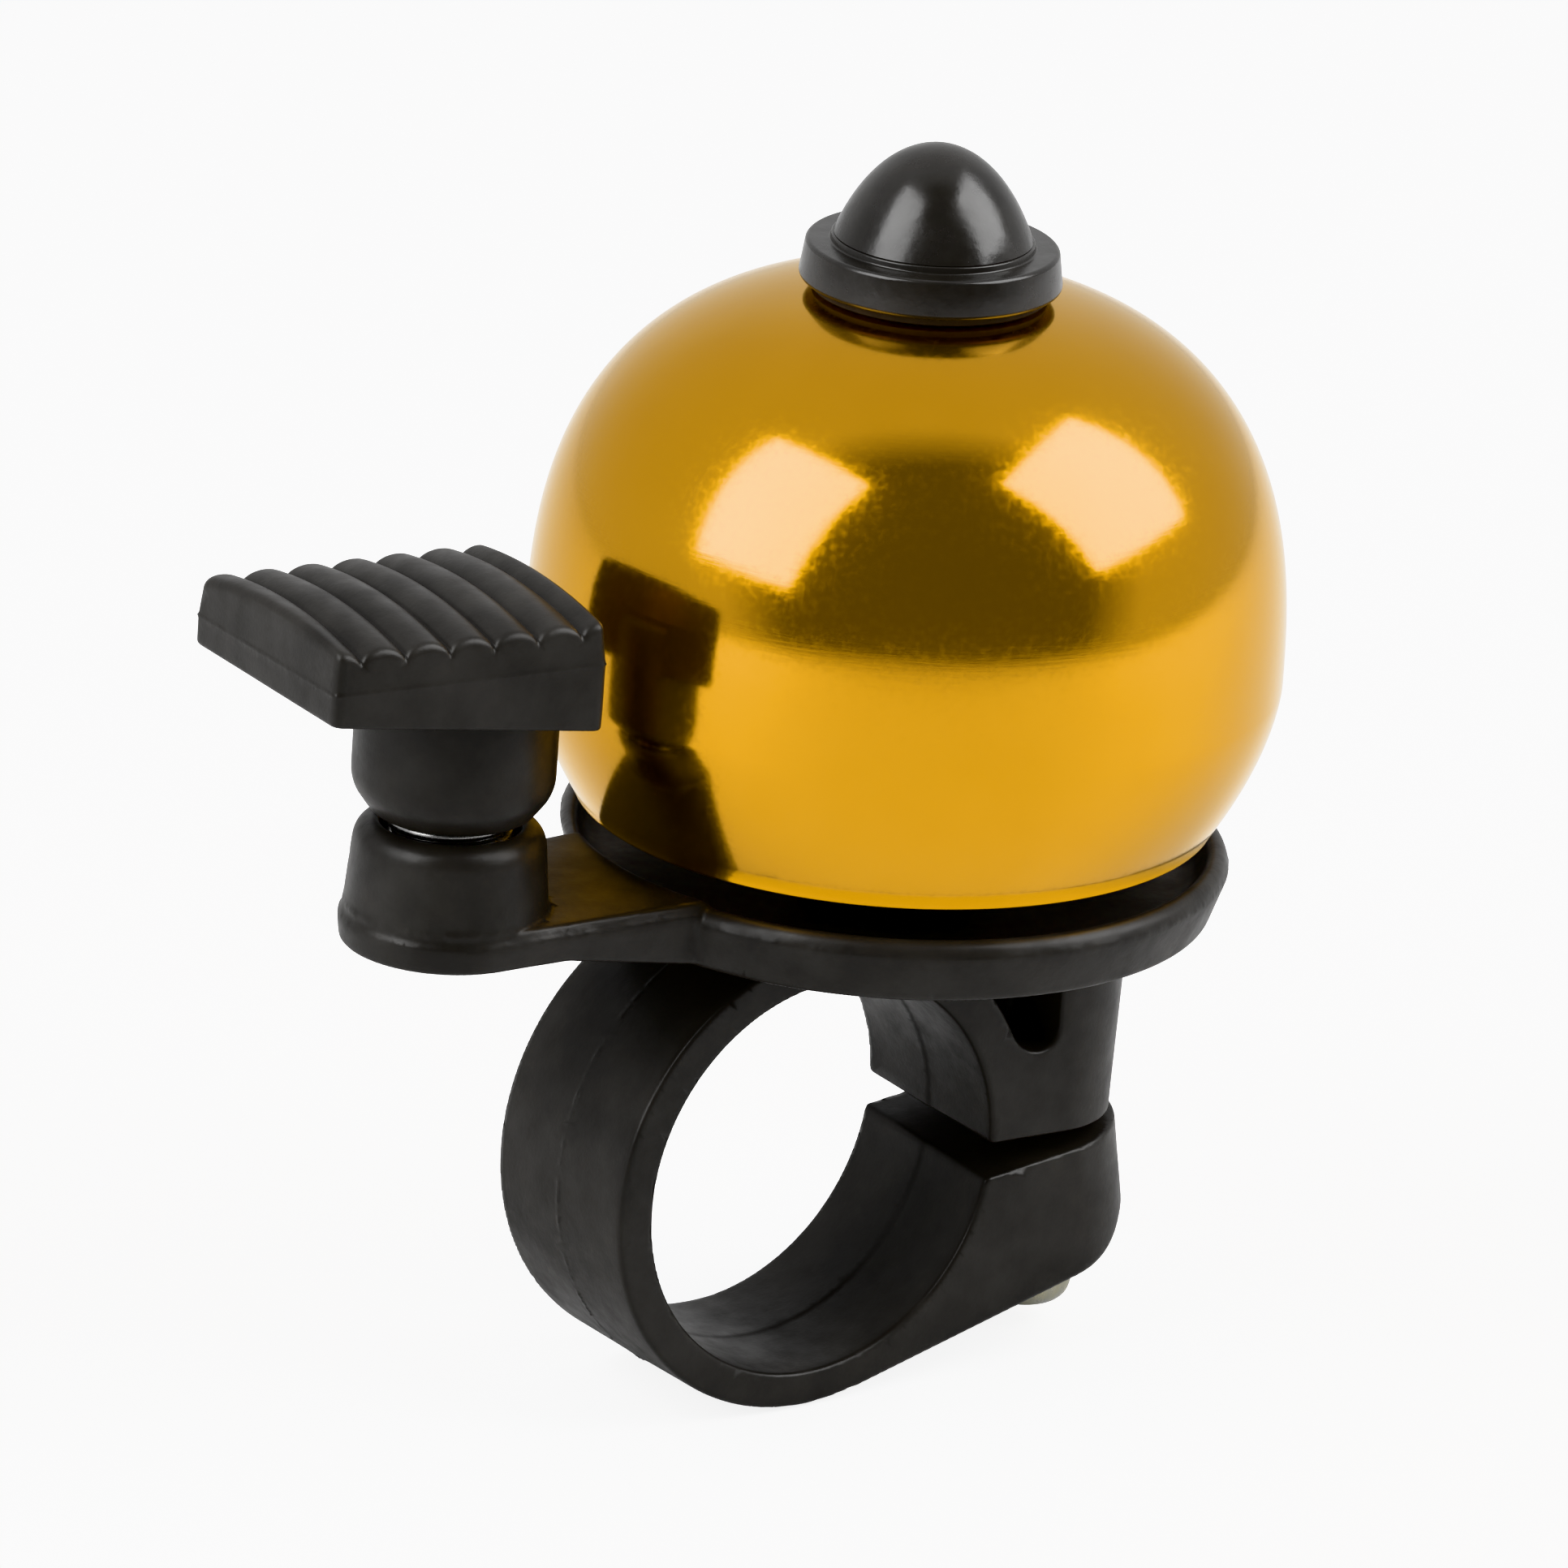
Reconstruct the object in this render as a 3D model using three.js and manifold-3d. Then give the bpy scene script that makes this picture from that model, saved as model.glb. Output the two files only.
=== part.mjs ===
// Small flick bell for a bicycle handlebar: a moulded base with its clamp, a metal dome on a centre
// post, and a striker on a short coil spring. Millimetres, +Z up through the dome. The origin is the
// centre of the clamp bore, the handlebar runs along Y, the dome and the clamp screw lie towards +X
// and the striker towards -X.

import * as THREE from 'three';
import { mergeVertices } from 'three/addons/utils/BufferGeometryUtils.js';
import Module from 'manifold-3d';

const wasm = await Module();
wasm.setup();

// Clamp band and its two jaws
const BORE_R = 11.3; // for a 22.2 mm handlebar with a thin wrap
const BAND_T = 1.95;
const BAND_R = BORE_R + BAND_T;
const BAND_SWELL = 0.16; // the band is a little thicker on its upper left side
const BAND_SHIFT = [-0.22, 0, 0.1];
const BAND_W = 11.4;
const FLEX_Z = -0.6; // height where the band bends as it is tightened
const FLEX_GAP = 0.1;
const SADDLE_IN = [11.3, 0.05]; // fixed jaw's underside, inner and outer ends
const SADDLE_OUT = [22.6, -0.3];
const SADDLE_X = -2.5; // where the fixed jaw's block starts
const JAW_END_X = 16.7; // centre of the fixed jaw's round end
const LUG_END_X = 17.8; // centre of the free jaw's round end
const GAP_IN = [11.6, -1.9]; // free jaw's upper face, inner and outer ends
const GAP_OUT = [22.6, -0.65];
const LUG_TILT = 14.5; // slope of the free jaw's underside, degrees
const LUG_TOE = [23.5, -6.2]; // where the underside has turned up into the end face
const LUG_HEEL_X = 19.4;
const RECESS_DEPTH = 4.3; // moulded recess in each side of the fixed jaw
const RECESS_WALL = 0.5; // left of the band's wall beside the recess
const RECESS_Z = 5.3;
const RECESS_TOP_Z = 11;
const RECESS_END = [[15.4, RECESS_TOP_Z], [15.4, 6.6], [14.9, 5.5], [13.8, 4.9]];

// Dish, arm and post
const DOME_X = 7.2; // dome axis
const DISH_Z = 13.69;
const DISH_FOOT_R = 17.5;
const DISH_PARTING_Z = 16.43;
const DISH_FLOOR_Z = 15.3;
const DISH_HOLLOW_R = 16.86;
const LIP_R = 18.46;
const LIP_Z = 17.3;
const ARM_X = -22.1; // striker axis
const ARM_R = 6;
const ARM_ROOT_X = -6;
const ARM_ROOT_R = 6.5; // half the arm's width at its root
const ARM_Z = 15.45; // underside, level out to the bend and sloping down to the root
const ARM_BEND_X = -16;
const ARM_ROOT_Z = 14.4;
const ARM_TOP_Z = 17.6;
const BOSS_SIDE = [[5.49, ARM_TOP_Z], [5.19, 20.9], [4.85, 21.8], [4, 22.3]];
const POST_TOP_Z = 45.9;
const POST_FOOT_R = 5.6;
const POST_R = 4.6;
const POST_TOP_R = 3.9;

// Dome, seat and cap
const DOME_R = 20.5;
const DOME_WIDE_Z = 27.16;
const DOME_RIM_Z = 18.72;
const DOME_LOWER = { height: 20.34, power: 1.6 }; // superellipse below the widest circle
const DOME_UPPER = { height: 20.84, power: 2.617 }; // and above it
const DOME_T = 1;
const LAND_Z = 47.8; // flat land round the bolt hole
const DOME_HOLE_R = 2.2;
const SEAT_R = 4.4;
const CAP_SEAT_R = 6.4;
const CAP_Z = 48.25;
const CAP_R = 7.15;
const CAP_BEVEL = 0.39;
const CAP_FLANGE_Z = 50.39;
const CAP_STEP_R = 5.5;
const NUB_Z = 50.75;
const NUB_R = 6.35; // the nub is the top of a tall ellipsoid
const NUB_H = 11;
const CAP_TOP_Z = 55.85;

// Striker and its spring
const SPRING_R = 3.1; // to the middle of the wire
const WIRE_R = 0.35;
const SPRING_PITCH = 0.82;
const SPRING_TURNS = 11;
const SPRING_Z = 18.2;
const SOCKET_R = 3.7; // bore that takes the spring in the boss and in the striker
const SOCKET_FLOOR_Z = 17.4;
const SOCKET_ROOF_Z = 28.2;
const PEG_R = 2.5; // stub inside the spring at each end
const LOWER_PEG_Z = 21.6;
const UPPER_PEG_Z = 23.8;
const PEG_LEAD = 0.2;
const STRIKER_Z = 22.8;
const STRIKER_FOOT_R = 4.26;
const STRIKER_R = 5.5;
const CHAMFER_Z = 24.37;
const PAD_X = 16.2;
const PAD_Y = 14;
const PAD_OUT = 3.05; // pad centre beyond the striker's axis
const PAD_TOP_Z = 34.56;
const PAD_LOW_Z = [30.95, 28.9]; // underside at the outer end and at the dome's end
const PAD_CROWN = 0.65; // rise of the pad's top between its two long edges
const PAD_TWIST = -6.5; // degrees
const RIB_COUNT = 7;
const RIB_H = 0.5;
const RIB_GAP = 0.24;

// Fasteners
const SCREW_X = 18.5;
const SCREW_R = 1.5; // M3
const SCREW_SEAT_Z = -9.8;
const SCREW_LENGTH = 25;
const SCREW_HOLE_R = 2.05;
const SCREW_FIT_R = 1.65; // hole in the free jaw, which carries the screw
const HEAD_R = 2.8;
const HEAD_H = 2.4;
const CROSS_REACH = 1.6;
const CROSS_HALF = 0.3;
const CROSS_DEPTH = 1.25;
const SEAT_PAD_R = 3.1;
const NUT_AF = 5.5;
const NUT_T = 2.4;
const NUT_Z = 12.9;
const NUT_COLLAR = 1.3; // wall round the nut, above the dish's floor
const NUT_COLLAR_Z = 15.9;
const BOLT_R = 2; // M4 stud
const BOLT_END_Z = 53;
const BOLT_HEAD_Z = 34;
const BOLT_HEAD_AF = 5;
const BOLT_HEAD_T = 2.5;
const FIT = 0.05; // play round a moulded-in piece
const PAST = 5; // how far a cutter runs past what it cuts

// Turns a closed three.js geometry into a solid, with its faces pointing out.
function solid(geometry) {
  const plain = geometry.index ? geometry.toNonIndexed() : geometry.clone();
  plain.deleteAttribute('normal');
  plain.deleteAttribute('uv');
  const merged = mergeVertices(plain, 1e-4);
  const points = merged.attributes.position.array;
  const corners = merged.index.array;
  const a = new THREE.Vector3();
  const b = new THREE.Vector3();
  const c = new THREE.Vector3();
  const faces = [];
  let volume = 0;
  for (let i = 0; i < corners.length; i += 3) {
    const [p, q, r] = corners.slice(i, i + 3);
    if (p === q || q === r || r === p) continue;
    a.fromArray(points, 3 * p);
    b.fromArray(points, 3 * q);
    c.fromArray(points, 3 * r);
    volume += a.dot(b.cross(c));
    faces.push(p, q, r);
  }
  if (volume < 0) faces.reverse();
  return new wasm.Manifold(new wasm.Mesh({
    numProp: 3,
    vertProperties: new Float32Array(points),
    triVerts: new Uint32Array(faces),
  }));
}

function geometryOf(body) {
  const mesh = body.getMesh();
  const points = new THREE.BufferAttribute(new Float32Array(mesh.vertProperties), 3);
  const geometry = new THREE.BufferGeometry();
  geometry.setAttribute('position', points);
  geometry.setIndex(new THREE.BufferAttribute(new Uint32Array(mesh.triVerts), 1));
  geometry.computeVertexNormals();
  return geometry;
}

// A solid turned about the vertical line at x, from [radius, z] points.
function turned(points, x = 0, segments = 48) {
  const profile = points.map(([r, z]) => new THREE.Vector2(r, z));
  const geometry = new THREE.LatheGeometry(profile, segments);
  geometry.rotateX(Math.PI / 2);
  geometry.translate(x, 0, 0);
  return solid(geometry);
}

function cylinder(r, z0, z1, x = 0, segments = 32) {
  return turned([[0, z0], [r, z0], [r, z1], [0, z1]], x, segments);
}

function ring(rIn, rOut, z0, z1, x) {
  return turned([[rIn, z0], [rOut, z0], [rOut, z1], [rIn, z1], [rIn, z0]], x);
}

function hexagon(acrossFlats, z0, z1, x) {
  const r = acrossFlats / Math.sqrt(3);
  const geometry = new THREE.CylinderGeometry(r, r, z1 - z0, 6);
  geometry.rotateX(Math.PI / 2);
  geometry.translate(x, 0, (z0 + z1) / 2);
  return solid(geometry);
}

// A plan outline raised from z0 to z1.
function raised(shape, z0, z1, curveSegments = 16) {
  const depth = z1 - z0;
  const geometry = new THREE.ExtrudeGeometry(shape, { depth, bevelEnabled: false, curveSegments });
  geometry.translate(0, 0, z0);
  return solid(geometry);
}

// A side outline in X and Z, width thick and centred on y, in so many steps along Y.
function acrossGeometry(points, width, y = 0, steps = 1) {
  const shape = new THREE.Shape(points.map(([u, v]) => new THREE.Vector2(u, v)));
  const geometry = new THREE.ExtrudeGeometry(shape, { depth: width, steps, bevelEnabled: false });
  geometry.translate(0, 0, -width / 2);
  geometry.rotateX(Math.PI / 2);
  geometry.translate(0, y, 0);
  return geometry;
}

function across(points, width, y = 0) {
  return solid(acrossGeometry(points, width, y));
}

// Everything below z1 and above z0 from x0 to x1, wide enough to cut the clamp.
function clampBlock(x0, x1, z0, z1) {
  const geometry = new THREE.BoxGeometry(x1 - x0, BAND_W + PAST, z1 - z0);
  geometry.translate((x0 + x1) / 2, 0, (z0 + z1) / 2);
  return solid(geometry);
}

// A cylinder along the handlebar.
function barCylinder(r, width, segments = 72) {
  return solid(new THREE.CylinderGeometry(r, r, width, segments));
}

// The band's outside, not quite centred on its bore.
function bandCylinder() {
  return barCylinder(BAND_R + BAND_SWELL, BAND_W).translate(BAND_SHIFT);
}

// A jaw's plan outline: flat sides and a round end.
function jawPlan(startX, endX) {
  const r = BAND_W / 2;
  const shape = new THREE.Shape();
  shape.moveTo(startX, -r);
  shape.lineTo(endX, -r);
  shape.absarc(endX, 0, r, -Math.PI / 2, Math.PI / 2, false);
  shape.lineTo(startX, r);
  return shape;
}

// One recess in the side of the fixed jaw, between the band and the screw's wall.
function jawRecess(side) {
  const r = BAND_R + RECESS_WALL;
  const start = Math.asin(RECESS_Z / r);
  const end = Math.asin(RECESS_TOP_Z / r);
  const steps = 6;
  const points = [];
  for (let i = 0; i <= steps; i += 1) {
    const angle = start + (end - start) * (i / steps);
    points.push([r * Math.cos(angle), r * Math.sin(angle)]);
  }
  const past = 0.01;
  return across([...points, ...RECESS_END], RECESS_DEPTH, side * (BAND_W / 2 - RECESS_DEPTH / 2 + past));
}

// Round dish with a raised lip, which the dome's rim hangs over.
function dish() {
  return turned([
    [0, DISH_Z], [DISH_FOOT_R, DISH_Z], [LIP_R, DISH_PARTING_Z], [LIP_R - 0.25, LIP_Z],
    [LIP_R - 1.2, LIP_Z], [LIP_R - 2, DISH_FLOOR_Z], [0, DISH_FLOOR_Z],
  ], DOME_X, 72);
}

// Arm from the dish to the striker, with the round boss that holds the spring.
function arm() {
  const plan = new THREE.Shape();
  plan.moveTo(ARM_X, -ARM_R);
  plan.lineTo(ARM_ROOT_X, -ARM_ROOT_R);
  plan.lineTo(ARM_ROOT_X, ARM_ROOT_R);
  plan.lineTo(ARM_X, ARM_R);
  plan.absarc(ARM_X, 0, ARM_R, Math.PI / 2, Math.PI * 1.5, false);
  const below = [
    [ARM_BEND_X, ARM_Z], [ARM_ROOT_X, ARM_ROOT_Z], [ARM_ROOT_X, 0], [2 * ARM_X, 0], [2 * ARM_X, ARM_Z],
  ];
  const plate = raised(plan, ARM_ROOT_Z, ARM_TOP_Z)
    .subtract(across(below, 4 * ARM_R))
    .subtract(cylinder(DISH_HOLLOW_R, DISH_FLOOR_Z, ARM_TOP_Z + PAST, DOME_X, 72));
  const footZ = (ARM_Z + ARM_TOP_Z) / 2;
  const bossTopZ = BOSS_SIDE.at(-1)[1];
  const boss = turned([[0, footZ], [BOSS_SIDE[0][0], footZ], ...BOSS_SIDE, [0, bossTopZ]], ARM_X, 40);
  const socket = turned([
    [0, LOWER_PEG_Z], [PEG_R, LOWER_PEG_Z - PEG_LEAD], [PEG_R, SOCKET_FLOOR_Z],
    [SOCKET_R, SOCKET_FLOOR_Z], [SOCKET_R, bossTopZ + PAST], [0, bossTopZ + PAST],
  ], ARM_X, 32);
  return plate.add(boss).subtract(socket);
}

// Tapered centre post with the stud moulded into its upper half.
function post() {
  const embeddedZ = DISH_FLOOR_Z - 0.5;
  const taperZ = 18;
  const body = turned([
    [0, embeddedZ], [POST_FOOT_R, embeddedZ], [POST_R, taperZ], [POST_TOP_R, POST_TOP_Z], [0, POST_TOP_Z],
  ], DOME_X, 32);
  return body
    .subtract(cylinder(BOLT_R + FIT, BOLT_HEAD_Z + 1, POST_TOP_Z + PAST, DOME_X))
    .subtract(hexagon(BOLT_HEAD_AF + 2 * FIT, BOLT_HEAD_Z - FIT, BOLT_HEAD_Z + BOLT_HEAD_T + FIT, DOME_X));
}

// Upper half of the clamp band and the fixed jaw under the dish.
function fixedClamp() {
  const slope = (SADDLE_OUT[1] - SADDLE_IN[1]) / (SADDLE_OUT[0] - SADDLE_IN[0]);
  const edgeX = 30;
  const edgeZ = SADDLE_OUT[1] + (edgeX - SADDLE_OUT[0]) * slope;
  const under = [[0, SADDLE_IN[1]], SADDLE_IN, [edgeX, edgeZ], [edgeX, -BAND_R - PAST], [0, -BAND_R - PAST]];
  const half = bandCylinder()
    .subtract(clampBlock(-BAND_R - PAST, BAND_R + PAST, -BAND_R - PAST, FLEX_Z));
  const jaw = raised(jawPlan(SADDLE_X, JAW_END_X), FLEX_Z, DISH_Z + 0.5)
    .subtract(jawRecess(-1))
    .subtract(jawRecess(1));
  return half.add(jaw)
    .subtract(across(under, BAND_W + PAST))
    .subtract(barCylinder(BORE_R, BAND_W + PAST));
}

// Dish, arm, spring boss, centre post, fixed jaw and upper half of the band: one moulding.
function baseBody() {
  const nutCollar = hexagon(NUT_AF + 2 * NUT_COLLAR, DISH_Z, NUT_COLLAR_Z, SCREW_X);
  return dish().add(arm()).add(fixedClamp()).add(nutCollar)
    .add(post())
    .subtract(cylinder(SCREW_HOLE_R, -PAST, NUT_Z + 0.5, SCREW_X))
    .subtract(hexagon(NUT_AF + 2 * FIT, NUT_Z, NUT_COLLAR_Z + 1, SCREW_X));
}

// Lower half of the band with the free jaw, which carries the clamp screw.
function clampBand() {
  const slope = Math.tan(THREE.MathUtils.degToRad(LUG_TILT));
  const outerR = BAND_R + BAND_SWELL;
  const tilt = Math.atan(slope);
  const tangent = [BAND_SHIFT[0] + outerR * Math.sin(tilt), BAND_SHIFT[2] - outerR * Math.cos(tilt)];
  const heelZ = tangent[1] + (LUG_HEEL_X - tangent[0]) * slope;
  const lugSide = [
    [tangent[0], 0], tangent, [LUG_HEEL_X, heelZ], [LUG_HEEL_X + 2.6, heelZ + 1.1], LUG_TOE, GAP_OUT,
    GAP_IN, [GAP_IN[0], 0],
  ];
  const gapTopX = 30;
  const gapTopZ = GAP_OUT[1] + (gapTopX - GAP_OUT[0]) * (GAP_OUT[1] - GAP_IN[1]) / (GAP_OUT[0] - GAP_IN[0]);
  const gap = [GAP_IN, [gapTopX, gapTopZ], [gapTopX, PAST], [0, PAST], [0, GAP_IN[1]]];
  const half = bandCylinder()
    .subtract(clampBlock(-BAND_R - PAST, BAND_R + PAST, FLEX_Z - FLEX_GAP, BAND_R + PAST));
  const lug = across(lugSide, BAND_W).intersect(raised(jawPlan(0, LUG_END_X), -BAND_R - PAST, PAST));
  return half.add(lug)
    .add(cylinder(SEAT_PAD_R, SCREW_SEAT_Z, SCREW_SEAT_Z + 3, SCREW_X))
    .subtract(cylinder(SEAT_PAD_R, SCREW_SEAT_Z - 3, SCREW_SEAT_Z, SCREW_X))
    .subtract(across(gap, BAND_W + PAST))
    .subtract(barCylinder(BORE_R, BAND_W + PAST))
    .subtract(cylinder(SCREW_FIT_R, SCREW_SEAT_Z - 1, 2, SCREW_X));
}

// One side of the dome's section, from its rim up to the flat land round the bolt hole. Each half is
// a superellipse quarter; offset moves it out or in.
function domeSide(offset, landZ, steps) {
  const halves = [
    { ...DOME_LOWER, from: DOME_RIM_Z, to: DOME_WIDE_Z },
    { ...DOME_UPPER, from: DOME_WIDE_Z, to: landZ },
  ];
  const points = [];
  for (const { height, power, from, to } of halves) {
    const reach = height + offset;
    const angleAt = (z) => {
      const lift = z - DOME_WIDE_Z;
      return Math.asin((Math.abs(lift) / reach) ** (power / 2)) * Math.sign(lift);
    };
    for (let i = 0; i <= steps; i += 1) {
      const angle = angleAt(from) + (angleAt(to) - angleAt(from)) * (i / steps);
      const r = (DOME_R + offset) * Math.cos(angle) ** (2 / power);
      const lift = reach * Math.abs(Math.sin(angle)) ** (2 / power);
      points.push([r, DOME_WIDE_Z + Math.sign(angle) * lift]);
    }
  }
  return points.filter(([, z], i) => i === 0 || z > points[i - 1][1]);
}

// A spun shell, open below, with a hole for the centre bolt.
function dome() {
  const profile = [
    ...domeSide(0, LAND_Z, 8), [DOME_HOLE_R, LAND_Z], [DOME_HOLE_R, LAND_Z - DOME_T],
    ...domeSide(-DOME_T, LAND_Z - DOME_T, 6).reverse(),
  ];
  return turned([...profile, profile[0]], DOME_X, 56);
}

// Flanged knob with a domed nub, screwed onto the centre bolt.
function cap() {
  const profile = [
    [0, CAP_Z], [CAP_R, CAP_Z], [CAP_R - CAP_BEVEL, CAP_FLANGE_Z], [CAP_STEP_R, CAP_FLANGE_Z],
    [CAP_STEP_R - 0.05, NUB_Z],
  ];
  const centreZ = CAP_TOP_Z - NUB_H;
  const foot = Math.asin((NUB_Z - centreZ) / NUB_H);
  const steps = 9;
  for (let i = 0; i < steps; i += 1) {
    const angle = foot + (Math.PI / 2 - foot) * (i / steps);
    profile.push([NUB_R * Math.cos(angle), centreZ + NUB_H * Math.sin(angle)]);
  }
  profile.push([0, CAP_TOP_Z]);
  return turned(profile, DOME_X, 40)
    .subtract(cylinder(BOLT_R + FIT, CAP_Z - 1, BOLT_END_Z + 0.3, DOME_X));
}

function centreBolt() {
  return hexagon(BOLT_HEAD_AF, BOLT_HEAD_Z, BOLT_HEAD_Z + BOLT_HEAD_T, DOME_X)
    .add(cylinder(BOLT_R, BOLT_HEAD_Z + 1, BOLT_END_Z, DOME_X));
}

function clampNut() {
  return hexagon(NUT_AF, NUT_Z, NUT_Z + NUT_T, SCREW_X)
    .subtract(cylinder(SCREW_HOLE_R, NUT_Z - PAST, NUT_Z + PAST, SCREW_X));
}

// Pan-head screw with a cross recess, its head down.
function clampScrew() {
  const z = SCREW_SEAT_Z;
  const headZ = z - HEAD_H;
  const tipZ = z + SCREW_LENGTH;
  const body = turned([
    [0, headZ], [HEAD_R - 1.1, headZ], [HEAD_R - 0.4, headZ + 0.4], [HEAD_R, headZ + 1.2], [HEAD_R, z],
    [SCREW_R, z], [SCREW_R, tipZ - 0.4], [SCREW_R - 0.4, tipZ], [0, tipZ],
  ], SCREW_X);
  const slot = (sizeX, sizeY) => {
    const geometry = new THREE.BoxGeometry(sizeX, sizeY, 2 * CROSS_DEPTH);
    return solid(geometry.translate(SCREW_X, 0, headZ));
  };
  return body
    .subtract(slot(2 * CROSS_REACH, 2 * CROSS_HALF))
    .subtract(slot(2 * CROSS_HALF, 2 * CROSS_REACH));
}

// Thumb pad: a wedge whose top carries rounded ribs along Y and rises in the middle of its width.
function thumbPad() {
  const x0 = -PAD_OUT - PAD_X / 2;
  const x1 = x0 + PAD_X;
  const pitch = PAD_X / RIB_COUNT;
  const sides = 6;
  const section = [[x0, PAD_TOP_Z], [x0, PAD_LOW_Z[0]], [x1, PAD_LOW_Z[1]], [x1, PAD_TOP_Z]];
  for (let i = RIB_COUNT - 1; i >= 0; i -= 1) {
    for (let j = 0; j <= sides; j += 1) {
      const angle = Math.PI * (j / sides);
      const x = x0 + pitch * (i + 0.5) + ((pitch - RIB_GAP) / 2) * Math.cos(angle);
      section.push([x, PAD_TOP_Z + RIB_H * Math.sin(angle)]);
    }
  }
  const geometry = acrossGeometry(section, PAD_Y, 0, 6);
  const place = geometry.attributes.position;
  for (let i = 0; i < place.count; i += 1) {
    if (place.getZ(i) < PAD_TOP_Z - 1e-3) continue;
    const share = place.getY(i) / (PAD_Y / 2);
    place.setZ(i, place.getZ(i) + PAD_CROWN * (1 - share * share));
  }
  return solid(geometry);
}

function striker() {
  const insideZ = 31.5;
  const post = turned([
    [0, STRIKER_Z], [STRIKER_FOOT_R, STRIKER_Z], [STRIKER_R, CHAMFER_Z], [STRIKER_R, insideZ], [0, insideZ],
  ], 0, 40);
  const openZ = STRIKER_Z - 1;
  const socket = turned([
    [0, openZ], [SOCKET_R, openZ], [SOCKET_R, SOCKET_ROOF_Z], [PEG_R, SOCKET_ROOF_Z],
    [PEG_R, UPPER_PEG_Z + PEG_LEAD], [0, UPPER_PEG_Z],
  ], 0, 32);
  return post.add(thumbPad()).subtract(socket);
}

// Coil spring, its ends gripping the stubs in the boss and in the striker.
function strikerSpring() {
  const stepsPerTurn = 12;
  const steps = SPRING_TURNS * stepsPerTurn;
  const points = [];
  for (let i = 0; i <= steps; i += 1) {
    const turn = i / stepsPerTurn;
    const angle = turn * Math.PI * 2;
    const z = SPRING_Z + WIRE_R + SPRING_PITCH * turn;
    points.push(new THREE.Vector3(SPRING_R * Math.cos(angle), SPRING_R * Math.sin(angle), z));
  }
  const section = new THREE.Shape();
  section.absarc(0, 0, WIRE_R, 0, Math.PI * 2, false);
  const extrudePath = new THREE.CatmullRomCurve3(points);
  return solid(new THREE.ExtrudeGeometry(section, {
    extrudePath, steps, curveSegments: 3, bevelEnabled: false,
  }));
}

function piece(name, body, color, roughness, metalness = 0) {
  const material = new THREE.MeshStandardMaterial({ color, roughness, metalness });
  const mesh = new THREE.Mesh(geometryOf(body), material);
  mesh.name = name;
  return mesh;
}

const BLACK = 0x1c1b19;
const GOLD = 0xd8981c;
const FIBRE = 0x3a3633;
const STEEL = 0xb9b7b0;

const bell = new THREE.Group();
const boltClearR = BOLT_R + 2 * FIT;
bell.add(
  piece('base_body', baseBody(), BLACK, 0.45),
  piece('clamp_band', clampBand(), BLACK, 0.45),
  piece('dome', dome(), GOLD, 0.12, 1),
  piece('dome_seat_washer', ring(boltClearR, SEAT_R, POST_TOP_Z, LAND_Z - DOME_T, DOME_X), FIBRE, 0.8),
  piece('cap_washer', ring(boltClearR, CAP_SEAT_R, LAND_Z, CAP_Z, DOME_X), FIBRE, 0.8),
  piece('cap', cap(), BLACK, 0.4),
  piece('centre_bolt', centreBolt(), STEEL, 0.35, 1),
  piece('clamp_nut', clampNut(), STEEL, 0.35, 1),
  piece('clamp_screw', clampScrew(), STEEL, 0.35, 1),
);

// The striker and its spring stand on the boss at the arm's end.
const strikerGroup = new THREE.Group();
strikerGroup.position.x = ARM_X;
strikerGroup.rotation.z = THREE.MathUtils.degToRad(PAD_TWIST);
strikerGroup.add(
  piece('striker', striker(), BLACK, 0.4),
  piece('striker_spring', strikerSpring(), STEEL, 0.35, 1),
);
bell.add(strikerGroup);

export default bell;
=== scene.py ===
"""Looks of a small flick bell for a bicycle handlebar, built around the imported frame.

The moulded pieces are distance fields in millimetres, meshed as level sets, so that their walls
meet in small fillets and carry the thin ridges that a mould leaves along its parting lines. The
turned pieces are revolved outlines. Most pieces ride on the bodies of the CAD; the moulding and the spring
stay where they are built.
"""

import math

import bmesh
import bpy
import numpy as np
import openvdb
from mathutils import Matrix, Vector


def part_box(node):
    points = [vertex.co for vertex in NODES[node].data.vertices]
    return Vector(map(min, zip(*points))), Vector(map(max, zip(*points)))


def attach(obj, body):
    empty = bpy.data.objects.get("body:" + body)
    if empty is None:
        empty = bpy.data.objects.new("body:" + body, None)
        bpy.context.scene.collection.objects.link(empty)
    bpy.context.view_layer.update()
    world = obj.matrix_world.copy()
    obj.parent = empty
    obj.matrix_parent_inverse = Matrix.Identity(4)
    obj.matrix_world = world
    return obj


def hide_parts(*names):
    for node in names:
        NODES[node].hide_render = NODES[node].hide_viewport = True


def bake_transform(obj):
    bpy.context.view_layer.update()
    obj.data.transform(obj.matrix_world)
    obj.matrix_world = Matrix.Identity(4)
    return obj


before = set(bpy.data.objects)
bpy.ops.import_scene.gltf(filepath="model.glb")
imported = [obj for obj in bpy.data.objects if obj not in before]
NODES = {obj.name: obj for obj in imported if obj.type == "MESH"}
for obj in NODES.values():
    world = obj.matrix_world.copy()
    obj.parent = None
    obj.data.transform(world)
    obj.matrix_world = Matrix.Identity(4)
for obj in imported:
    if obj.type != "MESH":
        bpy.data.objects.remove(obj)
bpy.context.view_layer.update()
MM = 0.001


def box_mm(node):
    low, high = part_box(node)
    return [v / MM for v in low], [v / MM for v in high]


# ---------------------------------------------------------------- sizes, in millimetres
BASE_LOW, BASE_HIGH = box_mm("base_body")
BAND_LOW, BAND_HIGH = box_mm("clamp_band")
DOME_LOW, DOME_HIGH = box_mm("dome")
CAP_LOW, CAP_HIGH = box_mm("cap")
SCREW_LOW, SCREW_HIGH = box_mm("clamp_screw")
SPRING_LOW, SPRING_HIGH = box_mm("striker_spring")

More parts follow.
